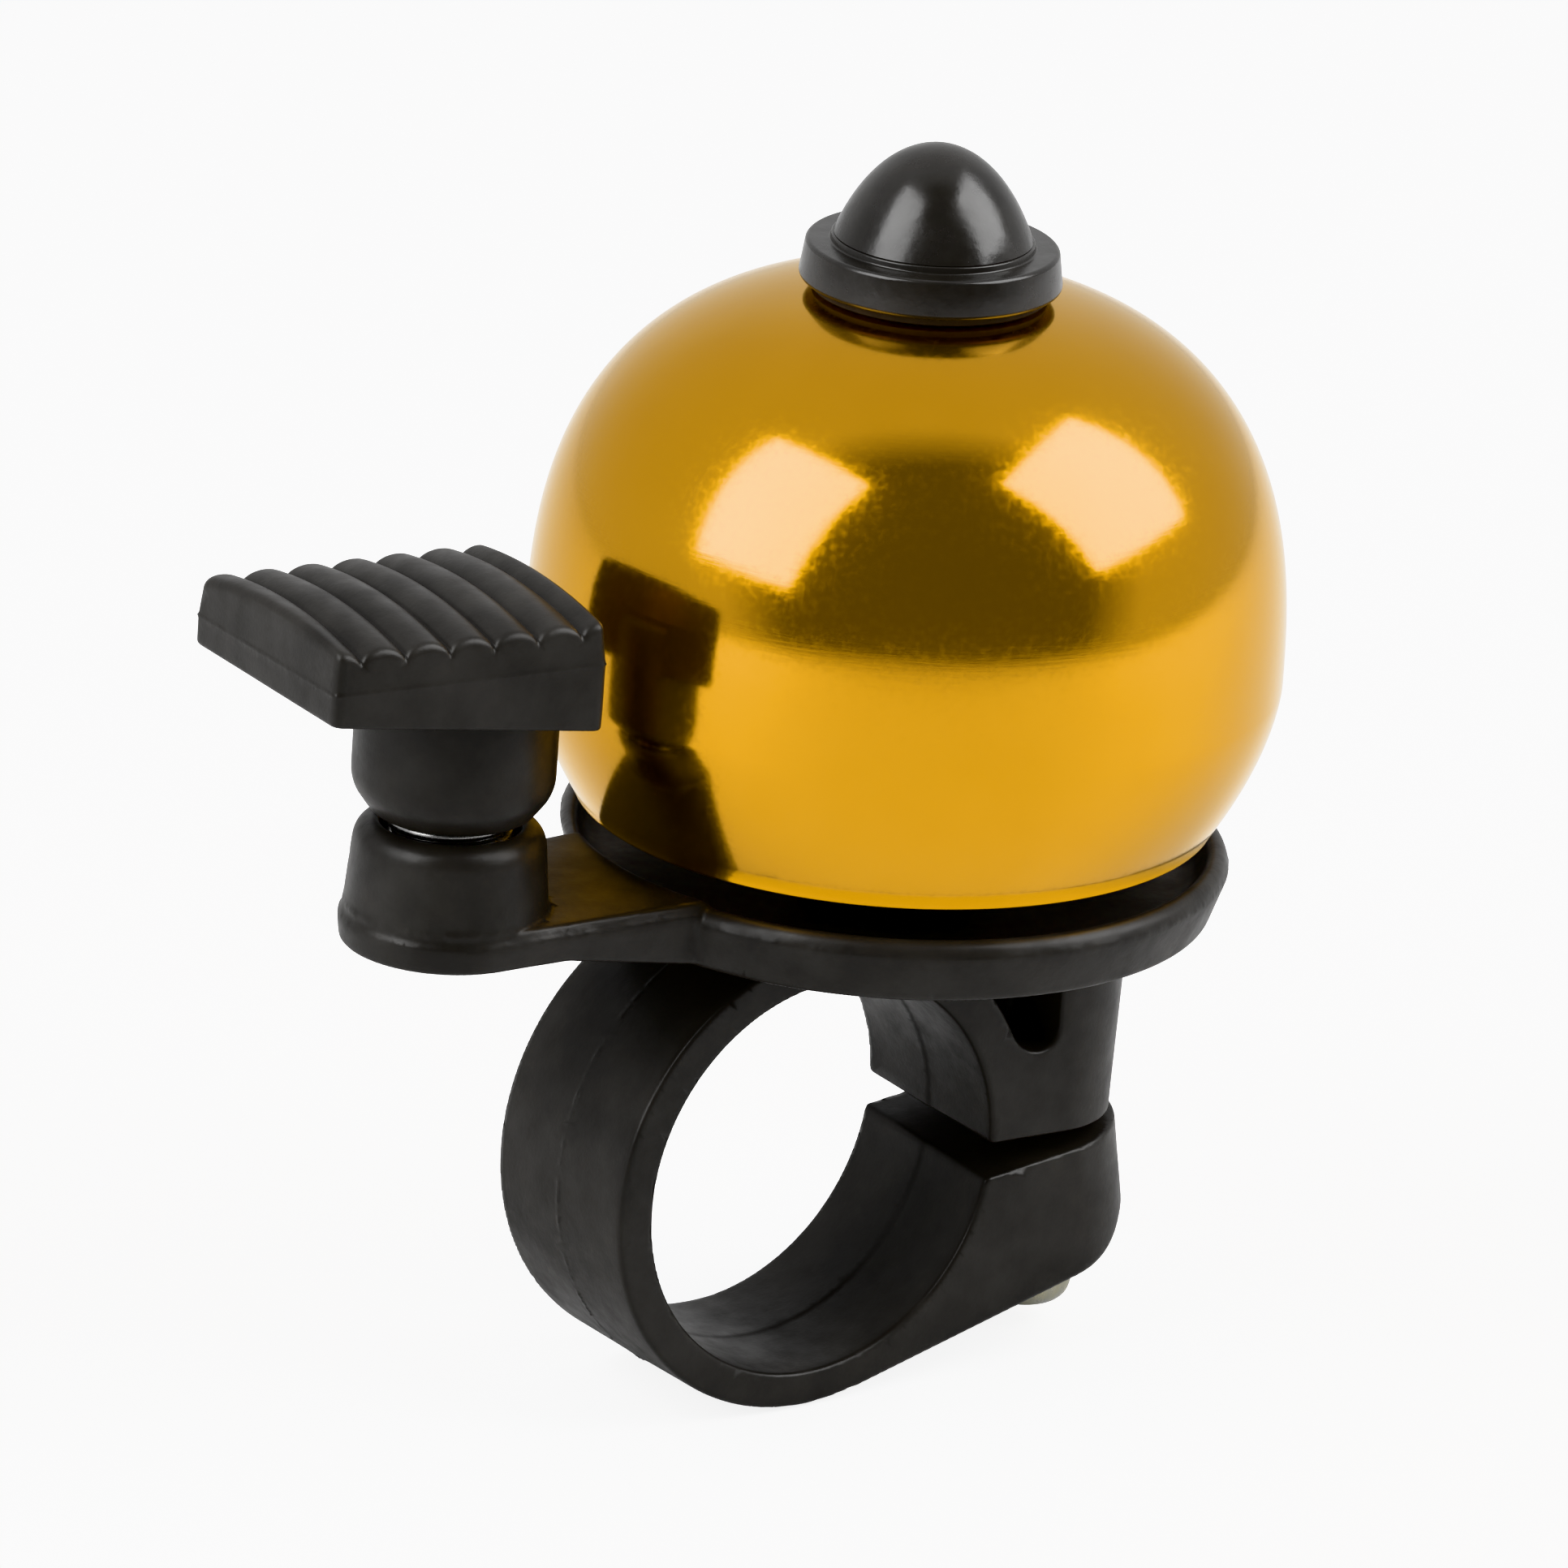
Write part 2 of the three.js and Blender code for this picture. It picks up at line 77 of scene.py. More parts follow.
BORE_R = 11.3  # the clamp bore's centre is the origin
BAND_OUT_R = BORE_R + 1.95
BAND_SWELL = 0.16  # added to the band's outer radius
BAND_SHIFT_X, BAND_SHIFT_Z = -0.22, 0.1  # which makes the band thickest on its upper left side
BAND_INSET = 0.085  # keeps most of the parting ridge inside the CAD's outline
HALF_W = BAND_HIGH[1]  # half the clamp's width
SADDLE_IN = (11.3, 0.05)  # underside of the fixed jaw
SADDLE_SLOPE = -0.031
SADDLE_END_X = 16.4  # centre of the fixed jaw's round end
RECESS_END_X = 15.4
RECESS_LOW_Z, RECESS_TOP_Z = 4.9, 11.0
RECESS_WEB = 1.4  # half the web left between the two recesses
GAP_IN = (11.6, -1.9)  # upper face of the free jaw
GAP_SLOPE = 0.1136
LUG_TILT = math.radians(14.5)
LUG_END_X = 16.9  # centre of the free jaw's round end
LUG_TOE_X = 23.3

DOME_X = (DOME_LOW[0] + DOME_HIGH[0]) / 2
DOME_R = (DOME_HIGH[0] - DOME_LOW[0]) / 2
DOME_WIDE_Z = 27.16
DOME_LOWER_H, DOME_LOWER_POWER = 20.34, 1.6
DOME_UPPER_H, DOME_UPPER_POWER = 20.84, 2.617
DOME_T = 1.0

LIP_R = BASE_HIGH[0] - DOME_X
DISH_Z = 13.69
DISH_FLOOR_Z = 15.3
LIP_Z = 17.3
LIP_T = 1.15
DISH_PARTING_Z = 16.45

ARM_R = 6.0
ARM_X = BASE_LOW[0] + ARM_R  # axis of the boss, the spring and the striker
ARM_Z = 15.45
ARM_ROOT_X = -6.0
ARM_BEND_X = -18.0  # from here the arm's underside slopes down to its root
ARM_SLOPE = 0.18
ARM_TOP_Z = 17.6
ARM_PARTING_Z = 16.95
BOSS_R = 5.47
BOSS_TOP_Z = 22.3
SOCKET_R = 3.7
PEG_R = 2.5
BOSS_SOCKET_Z, BOSS_PEG_Z = 17.4, 21.5  # floor of the socket and top of its peg
STRIKER_SOCKET_Z, STRIKER_PEG_Z = 28.2, 24.0  # roof of the socket and end of its peg

POST_R, POST_FOOT_R = 4.6, 5.6
POST_TOP_Z = 45.9
BOLT_R, BOLT_FOOT_Z = 2.05, 36.0  # the centre bolt's hole in the post

STRIKER_Z = box_mm("striker")[0][2]  # foot of the striker's post
STRIKER_R = 5.5
STRIKER_POST_Z = 32.0  # the post ends inside the pad
PAD_TWIST = math.radians(-6.5)
PAD_X, PAD_Y = 16.2, 14.0
PAD_OUT = 3.05  # the pad's middle stands this far out from the striker's axis
PAD_EDGE_Z = 34.56
PAD_CROWN = 0.65
PAD_UNDER_Z = 30.95  # underside of the pad at its outer end, from where it slopes down
PAD_SKEW = 0.9  # the outer end runs out this much towards the far side
PAD_FAR = 0.4  # extra width on the far side
RIB_COUNT = 7
END_RIB = 0.6  # share of a full rib at each end of the pad

NUB_R, NUB_H = 6.35, 11.0  # the cap's nub is the top of a tall ellipsoid
NUB_FOOT_R = 5.3

SCREW_X = (SCREW_LOW[0] + SCREW_HIGH[0]) / 2
SCREW_R = 1.5
HEAD_R = (SCREW_HIGH[0] - SCREW_LOW[0]) / 2
HEAD_H = 2.4
SEAT_Z = SCREW_LOW[2] + HEAD_H
FREE_JAW_HOLE_R, FIXED_JAW_HOLE_R = 1.65, 2.0
NUT_POCKET_FLATS = 5.6
NUT_POCKET_Z = 12.9  # floor of the nut's pocket

MARGIN = 0.6  # free room round a field before it is meshed
WASHER_HOLE_R = 2.1


# ---------------------------------------------------------------- distance fields
def both(a, b, soft=0.0):
    """The part inside both fields, its edge rounded over about soft."""
    if not soft:
        return np.maximum(a, b)
    h = np.clip(0.5 + 0.5 * (a - b) / soft, 0, 1)
    return b + (a - b) * h + soft * h * (1 - h)


def either(a, b, soft=0.0):
    return -both(-a, -b, soft)


def cut(a, b, soft=0.0):
    return both(a, -b, soft)


def ragged(u, seed):
    """From 0 to 1 along u in millimetres: how strongly a parting line's ridge stands out."""
    waves = ((0.9, 0.30), (2.3, 0.26), (5.1, 0.20), (11.7, 0.14), (23.0, 0.10))
    total = sum(a * np.sin(f * u + seed * (i + 1.7)) for i, (f, a) in enumerate(waves))
    return np.clip(0.5 + total, 0, 1)


def ridge(distance, width, height, strength):
    return height * strength * np.exp(-((distance / width) ** 2))


def hexagon(x, y, across_flats):
    half = across_flats / 2
    return both(both(np.abs(y), np.abs(0.5 * y + 0.866 * x)), np.abs(0.5 * y - 0.866 * x)) - half


def dish_field(x, y, z):
    r = np.hypot(x - DOME_X, y)
    turn = np.arctan2(y, x - DOME_X) * LIP_R
    # on the arm's far side the lip stands lower and further in
    low_corner = 0.75 * np.clip((-4 - x) / 5, 0, 1) * np.clip(y / 4, 0, 1)
    lower = (r - LIP_R - 0.34 * (z - DISH_PARTING_Z)) * 0.947
    upper = r - LIP_R + 0.12 + 0.2 * (z - DISH_PARTING_Z)
    side = both(lower, upper) - ridge(z - DISH_PARTING_Z, 0.09, 0.11, ragged(turn, 1))
    return both(both(side + low_corner, z - LIP_Z + low_corner, 0.8), DISH_Z - z, 0.35)


def dish_hollow_field(x, y, z):
    r = np.hypot(x - DOME_X, y)
    wall = (r - LIP_R + LIP_T - 0.45 * (z - LIP_Z)) * 0.91
    return both(wall, DISH_FLOOR_Z - z, 0.8)


def arm_field(x, y, z):
    along = np.clip(x, ARM_X, ARM_ROOT_X)
    half = ARM_R - 0.25 + (along - ARM_X) * 0.045
    plan = np.hypot(np.minimum(x - ARM_X, 0), y) - half
    below = plan + 0.12 * (ARM_PARTING_Z - z)
    above = plan + 0.10 + 0.35 * (z - ARM_PARTING_Z)
    mark = ridge(z - ARM_PARTING_Z, 0.08, 0.10, ragged(x + 0.7 * y, 2))
    side = both(both(below, above) - mark, x - ARM_ROOT_X)
    under = ARM_Z - ARM_SLOPE * np.maximum(x - ARM_BEND_X, 0) - z
    return both(both(side, z - ARM_TOP_Z, 0.2), under, 0.35)


def boss_field(x, y, z):
    r = np.hypot(x - ARM_X, y)
    turn = np.arctan2(y, x - ARM_X) * 5.5
    side = r - BOSS_R + 0.085 * (z - ARM_TOP_Z)
    skirt = ridge(z - ARM_TOP_Z - 0.05, 0.12, 0.12, ragged(turn, 3))
    body = both(both(side - skirt, z - BOSS_TOP_Z, 1.3), ARM_Z + 0.6 - z)
    socket = both(both(r - SOCKET_R, BOSS_SOCKET_Z - z), -both(r - PEG_R, z - BOSS_PEG_Z, 0.5))
    return cut(body, socket, 0.5)


def post_field(x, y, z):
    r = np.hypot(x - DOME_X, y)
    shaft = r - POST_R + (z - 18) * 0.025
    foot = r - POST_FOOT_R - (DISH_FLOOR_Z - z) * 0.5
    solid = both(either(shaft, both(foot, z - 17), 1.0), z - POST_TOP_Z, 0.3)
    bolt = both(r - BOLT_R, BOLT_FOOT_Z - z)
    return cut(both(solid, DISH_FLOOR_Z - 0.5 - z), bolt)


def bore_radius(y):
    """The two mould halves leave a faint crown and a small step at the middle of the band."""
    return BORE_R - 0.15 + 0.012 * np.abs(y) + 0.035 * np.tanh(-y / 0.06)


def clamp_field(x, y, z):
    wide = np.abs(y)
    r = np.hypot(x, z)
    turn = np.arctan2(z, x) * BAND_OUT_R
    mark = ridge(y, 0.07, 0.10, ragged(turn, 4))
    flap = ridge(np.hypot(turn - 27.5, 0.5 * y), 0.9, 0.10, 1.0) * (y < 0)
    outside = np.hypot(x - BAND_SHIFT_X, z - BAND_SHIFT_Z) - BAND_OUT_R - BAND_SWELL
    band = outside + BAND_INSET + 0.006 * wide - mark - flap

    end_x = SADDLE_END_X + 0.042 * z
    saddle = np.hypot(np.maximum(x - end_x, 0), y) - HALF_W - 0.5 * mark
    saddle_under = SADDLE_IN[1] + (x - SADDLE_IN[0]) * SADDLE_SLOPE + 0.03 * y
    saddle = both(both(saddle, saddle_under - z, 0.25), -2.5 - x)
    saddle = both(saddle, z - DISH_Z - 0.3)
    recess = both(both(BAND_OUT_R + 0.5 - r, x - RECESS_END_X, 0.5), RECESS_LOW_Z - z, 1.5)
    recess = both(both(recess, z - RECESS_TOP_Z), RECESS_WEB - wide, 0.5)
    screw_wall = np.hypot(x - SCREW_X, y) - 3.2
    saddle = cut(saddle, cut(recess, screw_wall, 0.3), 0.25)

    outer_r = BAND_OUT_R + BAND_SWELL
    tangent_x = BAND_SHIFT_X + outer_r * math.sin(LUG_TILT)
    tangent_z = BAND_SHIFT_Z - outer_r * math.cos(LUG_TILT)
    under = (tangent_z + (x - tangent_x) * math.tan(LUG_TILT) - z) * math.cos(LUG_TILT)
    toe = both(under, x - LUG_TOE_X - 0.1 * (z + 6), 4.5)
    lug_x = LUG_END_X - 0.18 * (np.clip(z, -6, 0) + 0.9)
    lug = np.hypot(np.maximum(x - lug_x, 0), y) - HALF_W - 0.5 * mark
    lug = both(both(lug, toe, 0.45), tangent_x - x)
    lug_top = GAP_IN[1] + (x - GAP_IN[0]) * GAP_SLOPE + 0.04 * np.maximum(y + HALF_W, 0)
    lug = both(lug, z - lug_top)
    seat = np.hypot(x - SCREW_X, y) - HEAD_R - 0.3
    lug = either(lug, both(both(seat, SEAT_Z - z, 0.2), z + 6), 0.3)
    lug = cut(lug, both(seat, z - SEAT_Z))

    gap = both(both(z - saddle_under, lug_top - z), 5 - x)
    band = both(cut(band, gap), wide - HALF_W, 0.3)
    body = cut(either(band, either(saddle, lug)), gap, 0.3)
    return both(both(body, wide - HALF_W), bore_radius(y) - r, 0.3)


def moulding_field(x, y, z):
    """Base and clamp, one moulding."""
    low, high = float(z.min()), float(z.max())
    body = np.full((x.size, y.size, z.size), 5.0, np.float32)
    if high > DISH_Z - 1 and low < BOSS_TOP_Z + 1:
        plate = either(dish_field(x, y, z), arm_field(x, y, z), 0.25)
        plate = cut(plate, dish_hollow_field(x, y, z), 0.45)
        body = either(plate, boss_field(x, y, z), 0.08)
    if high > DISH_FLOOR_Z - 1:
        body = either(body, post_field(x, y, z), 0.3)
    if low < DISH_Z + 1.5:
        body = either(body, clamp_field(x, y, z), 0.25)
    hole = np.where(z < -0.5, FREE_JAW_HOLE_R, FIXED_JAW_HOLE_R)
    screw = both(np.hypot(x - SCREW_X, y) - hole, z - 13.5)
    pocket = both(hexagon(y, x - SCREW_X, NUT_POCKET_FLATS), NUT_POCKET_Z - z)
    return cut(cut(body, screw), both(pocket, z - 20))


def striker_field(x, y, z):
    """Post and pad, about the striker's own axis, with the pad's length along x."""
    r = np.hypot(x, y)
    chamfer = (r - 4.26 - 0.771 * (z - STRIKER_Z)) * 0.792
    post = both(both(r - STRIKER_R + 0.06, chamfer, 0.5), STRIKER_Z - z, 0.25)
    post = both(post, z - STRIKER_POST_Z)

    u = x + PAD_OUT
    parting = PAD_EDGE_Z - 1.85
    mark = ridge(z - parting, 0.07, 0.06, 0.5 + 0.5 * ragged(x * 1.3 + y, 5))
    outer_end = -u - PAD_X / 2 - PAD_SKEW * np.clip(y / PAD_Y + 0.5, 0, 1)
    sides = np.abs(y - PAD_FAR / 2) - (PAD_Y + PAD_FAR) / 2
    ends = both(both(outer_end, u - PAD_X / 2), sides, 0.5)
    ends = both(ends + 0.02 * (parting - z), ends + 0.05 + 0.09 * np.maximum(z - parting, 0)) - mark
    under = (PAD_UNDER_Z - 0.126 * (u + PAD_X / 2) - z) * 0.992
    pitch = PAD_X / (RIB_COUNT - 2 + 2 * END_RIB)
    phase = (u + PAD_X / 2) / pitch + 1 - END_RIB
    share = phase - np.floor(phase) - 0.5
    rib = 0.72 * np.sqrt(np.maximum(1 - (2 * share) ** 2, 0)) ** 1.1 - 0.35
    rib = np.where((phase < 0) | (phase > RIB_COUNT), -0.35, rib)
    crown = PAD_CROWN * (1 - (y / (PAD_Y / 2)) ** 2)
    top = (z - PAD_EDGE_Z - crown - rib + 0.02) * 0.9
    pad = both(both(ends, top, 0.42), under, 0.3)
    body = either(post, pad, 0.3)
    socket = both(both(r - SOCKET_R, z - STRIKER_SOCKET_Z), -both(r - PEG_R, STRIKER_PEG_Z - z))
    return cut(body, socket, 0.3)


def screw_field(x, y, z):
    """Pan head with a cross recess, its head down, and a threaded shank."""
    r = np.hypot(x, y)
    below = SEAT_Z - z
    head = both(r - HEAD_R, below - HEAD_H, 0.5)
    crown_r, crown_h = 3.75, 3.5
    crown = np.sqrt((r / crown_r) ** 2 + (np.maximum(below, 0) / crown_h) ** 2) * crown_h - 2.98
    head = both(both(head, crown, 0.5), -below)
    turn = np.arctan2(y, x) / (2 * math.pi)
    pitch, thread_depth = 0.5, 0.27
    wave = z / pitch - turn
    thread = thread_depth * np.abs(2 * (wave - np.floor(wave)) - 1)
    thread = np.where(z > SEAT_Z + 3, thread, 0.0)
    shank = both(both(r - SCREW_R + thread, -0.01 - (z - SEAT_Z)), z - SCREW_HIGH[2], 0.3)
    recess_depth = 1.5
    depth = np.clip((below - HEAD_H + recess_depth) / recess_depth, 0, 1)
    arm = 0.28 + 0.1 * depth
    reach = 0.55 + 1.15 * depth
    ax, ay = np.abs(x), np.abs(y)
    cross = either(both(ax - reach, ay - arm), both(ay - reach, ax - arm), 0.2)
    cross = both(cross, HEAD_H - recess_depth - below)
    return cut(either(head, shank), cross, 0.12)


# ---------------------------------------------------------------- meshes
def sampled(values, at):
    """values between its cells, at points in cell units."""
    top = np.array(values.shape) - 2
    cell = np.clip(np.floor(at).astype(int), 0, top)
    part = at - cell
    total = np.zeros(len(at))
    for corner in np.ndindex(2, 2, 2):
        weight = np.prod(np.where(corner, part, 1 - part), axis=1)
        i, j, k = (cell + corner).T
        total += weight * values[i, j, k]
    return total


def level_set(name, field, low, high, voxel, adaptivity=0.01):
    """The closed surface where field is zero, as a mesh in metres with the field's own normals."""
    axes = [np.arange(a - MARGIN, b + MARGIN, voxel, dtype=np.float32) for a, b in zip(low, high)]
    x, y = axes[0][:, None, None], axes[1][None, :, None]
    limit = 3 * voxel
    values = np.empty([len(a) for a in axes], np.float32)
    slab = 24
    for start in range(0, len(axes[2]), slab):
        z = axes[2][None, None, start:start + slab]
        values[:, :, start:start + slab] = np.clip(field(x, y, z), -limit, limit)
    grid = openvdb.FloatGrid(limit)
    grid.copyFromArray(values)
    points, triangles, quads = grid.convertToPolygons(isovalue=0.0, adaptivity=adaptivity)
    slopes = []
    for step in np.eye(3):
        slopes.append(sampled(values, points + step) - sampled(values, points - step))
    normals = np.stack(slopes, 1)
    normals /= np.maximum(np.linalg.norm(normals, axis=1), 1e-9)[:, None]
    corner = np.array([a[0] for a in axes])
    placed = (points * voxel + corner) * MM
    faces = [*triangles.tolist(), *quads.tolist()]
    some = triangles[:500] if len(triangles) else quads[:500, :3]
    first = placed[some]
    facing = np.cross(first[:, 1] - first[:, 0], first[:, 2] - first[:, 0])
    if (facing * normals[some[:, 0]]).sum() < 0:
        faces = [f[::-1] for f in faces]
    mesh = bpy.data.meshes.new(name)
    mesh.from_pydata(placed.tolist(), [], faces)
    mesh.shade_smooth()
    mesh.normals_split_custom_set_from_vertices(normals.tolist())
    return link(name, mesh)


def link(name, mesh):
    thing = bpy.data.objects.new(name, mesh)
    bpy.context.scene.collection.objects.link(thing)
    return thing


def rounded(corners, steps=7):
    """An outline from (r, z, radius) corners, each replaced by an arc of that radius."""
    outline = []
    for i, (r, z, radius) in enumerate(corners):
        here = Vector((r, z))
        if not radius:
            outline.append(here)
            continue
        back = (Vector(corners[i - 1][:2]) - here).normalized()
        ahead = (Vector(corners[(i + 1) % len(corners)][:2]) - here).normalized()
        half = back.angle(ahead) / 2
        centre = here + (back + ahead).normalized() * (radius / math.sin(half))
        start = here + back * (radius / math.tan(half)) - centre
        end = here + ahead * (radius / math.tan(half)) - centre
        for j in range(steps + 1):
            straight = start.angle(end) < 1e-4
            mix = start.lerp(end, j / steps) if straight else start.slerp(end, j / steps)
            outline.append(centre + mix.normalized() * radius)
    return [(p.x, p.y) for p in outline]


def revolved(name, outline, x, segments=192, closed=True):
    """A closed outline of (r, z) points in millimetres turned about the vertical at x."""
    points = []
    for k in range(segments):
        angle = 2 * math.pi * k / segments
        for r, z in outline:
            points.append((x + r * math.cos(angle), r * math.sin(angle), z))
    count = len(outline)
    spans = count if closed else count - 1
    faces = []
    for k in range(segments):
        here, there = k * count, ((k + 1) % segments) * count
        for i in range(spans):
            j = (i + 1) % count
            faces.append((here + i, there + i, there + j, here + j))
    mesh = bpy.data.meshes.new(name)
    mesh.from_pydata([tuple(v * MM for v in p) for p in points], [], faces)
    weld(mesh)
    mesh.shade_smooth()
    thing = link(name, mesh)
    sharpen(thing)
    return thing


def weld(mesh):
    work = bmesh.new()
    work.from_mesh(mesh)
    bmesh.ops.remove_doubles(work, verts=work.verts, dist=1e-7)
    bmesh.ops.recalc_face_normals(work, faces=work.faces)
    work.to_mesh(mesh)
    work.free()


def sharpen(thing, degrees=35):
    thing.data.set_sharp_from_angle(angle=math.radians(degrees))


def dome_outline():
    """The shell's section: outside from the rim to the land, and back inside, with a rolled rim."""
    def side(offset, rim_z, land_z, steps):
        points = []
        halves = (
            (DOME_LOWER_H + offset, DOME_LOWER_POWER, rim_z, DOME_WIDE_Z, steps // 3),
            (DOME_UPPER_H + offset, DOME_UPPER_POWER, DOME_WIDE_Z, land_z, steps),
        )
        for height, power, start_z, end_z, count in halves:
            ends = [
                math.copysign(math.asin((abs(z - DOME_WIDE_Z) / height) ** (power / 2)), z - DOME_WIDE_Z)
                for z in (start_z, end_z)
            ]
            for i in range(count + 1):
                angle = ends[0] + (ends[1] - ends[0]) * i / count
                r = (DOME_R + offset) * math.cos(angle) ** (2 / power)
                lift = height * abs(math.sin(angle)) ** (2 / power)
                z = DOME_WIDE_Z + math.copysign(lift, angle)
                if not points or z > points[-1][1] + 1e-6:
                    points.append((r, z))
        return points

    roll = 0.35
    rim_z, land_z = DOME_LOW[2] + roll, DOME_HIGH[2]
    outside = side(0, rim_z, land_z, 90)
    inside = side(-DOME_T, rim_z, land_z - DOME_T, 60)
    (outer_r, outer_z), inner_r = outside[0], inside[0][0]
    middle, half = (outer_r + inner_r) / 2, (outer_r - inner_r) / 2
    rim = []
    for i in range(1, 8):
        angle = math.pi * i / 8
        rim.append((middle - half * math.cos(angle), outer_z - roll * math.sin(angle)))
    hole_r = 2.2
    return [*outside, (hole_r, land_z), (hole_r, land_z - DOME_T), *reversed(inside), *rim]


def cap_outline():
    low, high = CAP_LOW[2], CAP_HIGH[2]
    flange_r = (CAP_HIGH[0] - CAP_LOW[0]) / 2
    flange_z = low + 2.14
    nub_z = low + 2.5
    corners = [
        (0, low, 0), (flange_r - 0.04, low, 0.28), (flange_r - 0.34, flange_z, 0.26),
        (5.52, flange_z - 0.04, 0.1), (5.46, nub_z - 0.02, 0.1), (NUB_FOOT_R, nub_z, 0.03),
    ]
    outline = rounded(corners)
    centre_z = high - NUB_H
    foot = math.asin((nub_z + 0.03 - centre_z) / NUB_H)
    steps = 40
    for i in range(steps + 1):
        angle = foot + (math.pi / 2 - foot) * i / steps
        outline.append((NUB_R * math.cos(angle), centre_z + NUB_H * math.sin(angle)))
    return outline


def washer_outline(node, inner_r, edge):
    low, high = box_mm(node)
    outer_r = (high[0] - low[0]) / 2
    corners = [
        (inner_r, low[2], edge), (outer_r, low[2], edge),
        (outer_r, high[2], edge), (inner_r, high[2], edge),
    ]
    return rounded(corners, 4)


def coil(name, from_z, to_z, wire_r=0.35, pitch=0.82, turns=11):
    """The part of the striker's spring between two heights, as a round wire."""
    middle_r = (SPRING_HIGH[0] - SPRING_LOW[0]) / 2 - wire_r
    start_z = SPRING_LOW[2] + wire_r
    steps, sides = 40, 12
    centres = []
    for i in range(turns * steps + 1):
        z = start_z + pitch * i / steps
        if from_z <= z <= to_z:
            centres.append((2 * math.pi * i / steps + PAD_TWIST, z))
    points, faces = [], []
    for angle, z in centres:
        out = Vector((math.cos(angle), math.sin(angle), 0))
        for j in range(sides):
            turn = 2 * math.pi * j / sides
            axis = Vector((ARM_X, 0, z + wire_r * math.sin(turn)))
            ring = out * (middle_r + wire_r * math.cos(turn)) + axis
            points.append(tuple(ring * MM))
    for i in range(len(centres) - 1):
        for j in range(sides):
            k = (j + 1) % sides
            faces.append((i * sides + j, i * sides + k, (i + 1) * sides + k, (i + 1) * sides + j))
    faces.append(tuple(range(sides)))
    last = (len(centres) - 1) * sides
    faces.append(tuple(last + j for j in reversed(range(sides))))
    mesh = bpy.data.meshes.new(name)
    mesh.from_pydata(points, [], faces)
    weld(mesh)
    mesh.shade_smooth()
    thing = link(name, mesh)
    sharpen(thing, 60)
    return thing


# ---------------------------------------------------------------- materials
def shader(name):
    material = bpy.data.materials.new(name)
    material.use_nodes = True
    nodes, links = material.node_tree.nodes, material.node_tree.links
    return material, nodes, links, nodes["Principled BSDF"]


def noise(nodes, links, scale, detail=4.0, roughness=0.55, stretch=(1, 1, 1)):
    """Noise over the object's own coordinates, scale being its features per metre."""
    place = nodes.new("ShaderNodeTexCoord")
    mapping = nodes.new("ShaderNodeMapping")
    mapping.inputs["Scale"].default_value = stretch
    texture = nodes.new("ShaderNodeTexNoise")
    texture.inputs["Scale"].default_value = scale
    texture.inputs["Detail"].default_value = detail
    texture.inputs["Roughness"].default_value = roughness
    links.new(place.outputs["Object"], mapping.inputs["Vector"])
    links.new(mapping.outputs["Vector"], texture.inputs["Vector"])
    return texture.outputs["Fac"]


def spread(nodes, links, value, low, high, out_low, out_high, kind="LINEAR"):
    mapped = nodes.new("ShaderNodeMapRange")
    mapped.interpolation_type = kind
    mapped.inputs["From Min"].default_value = low
    mapped.inputs["From Max"].default_value = high
    mapped.inputs["To Min"].default_value = out_low
    mapped.inputs["To Max"].default_value = out_high
    links.new(value, mapped.inputs["Value"])
    return mapped.outputs["Result"]


def blended(nodes, links, share, first, second):
    mix = nodes.new("ShaderNodeMix")
    mix.data_type = "RGBA"
    mix.inputs["A"].default_value = (*first, 1)
    mix.inputs["B"].default_value = (*second, 1)
    links.new(share, mix.inputs["Factor"])
    return mix.outputs["Result"]


def bump(nodes, links, bsdf, heights):
    """Stacks (height field, distance in metres, strength) bumps onto the shader's normal."""
    before = None
    for height, distance, strength in heights:
        node = nodes.new("ShaderNodeBump")
        node.inputs["Distance"].default_value = distance
        node.inputs["Strength"].default_value = strength
        links.new(height, node.inputs["Height"])
        if before:
            links.new(before, node.inputs["Normal"])
        before = node.outputs["Normal"]
    links.new(before, bsdf.inputs["Normal"])


def black_plastic(name, gloss=0.37, grain=0.3, specular=0.32):
    """Injection-moulded black plastic: satin, faintly brown, with a fine grain and handling marks."""
    material, nodes, links, bsdf = shader(name)
    cloud = noise(nodes, links, 260, 5)
    colour = blended(nodes, links, spread(nodes, links, cloud, 0.35, 0.7, 0, 1), (0.0180, 0.0170, 0.0156),
                     (0.0310, 0.0293, 0.0268))
    links.new(colour, bsdf.inputs["Base Color"])
    smear = noise(nodes, links, 420, 6, 0.65)
    links.new(spread(nodes, links, smear, 0.3, 0.75, gloss - 0.06, gloss + 0.14), bsdf.inputs["Roughness"])
    bsdf.inputs["Specular IOR Level"].default_value = specular
    fine = noise(nodes, links, 5200, 3)
    waves = noise(nodes, links, 480, 3)
    bump(nodes, links, bsdf, [(fine, 0.00002, grain), (waves, 0.00012, 0.25)])
    return material


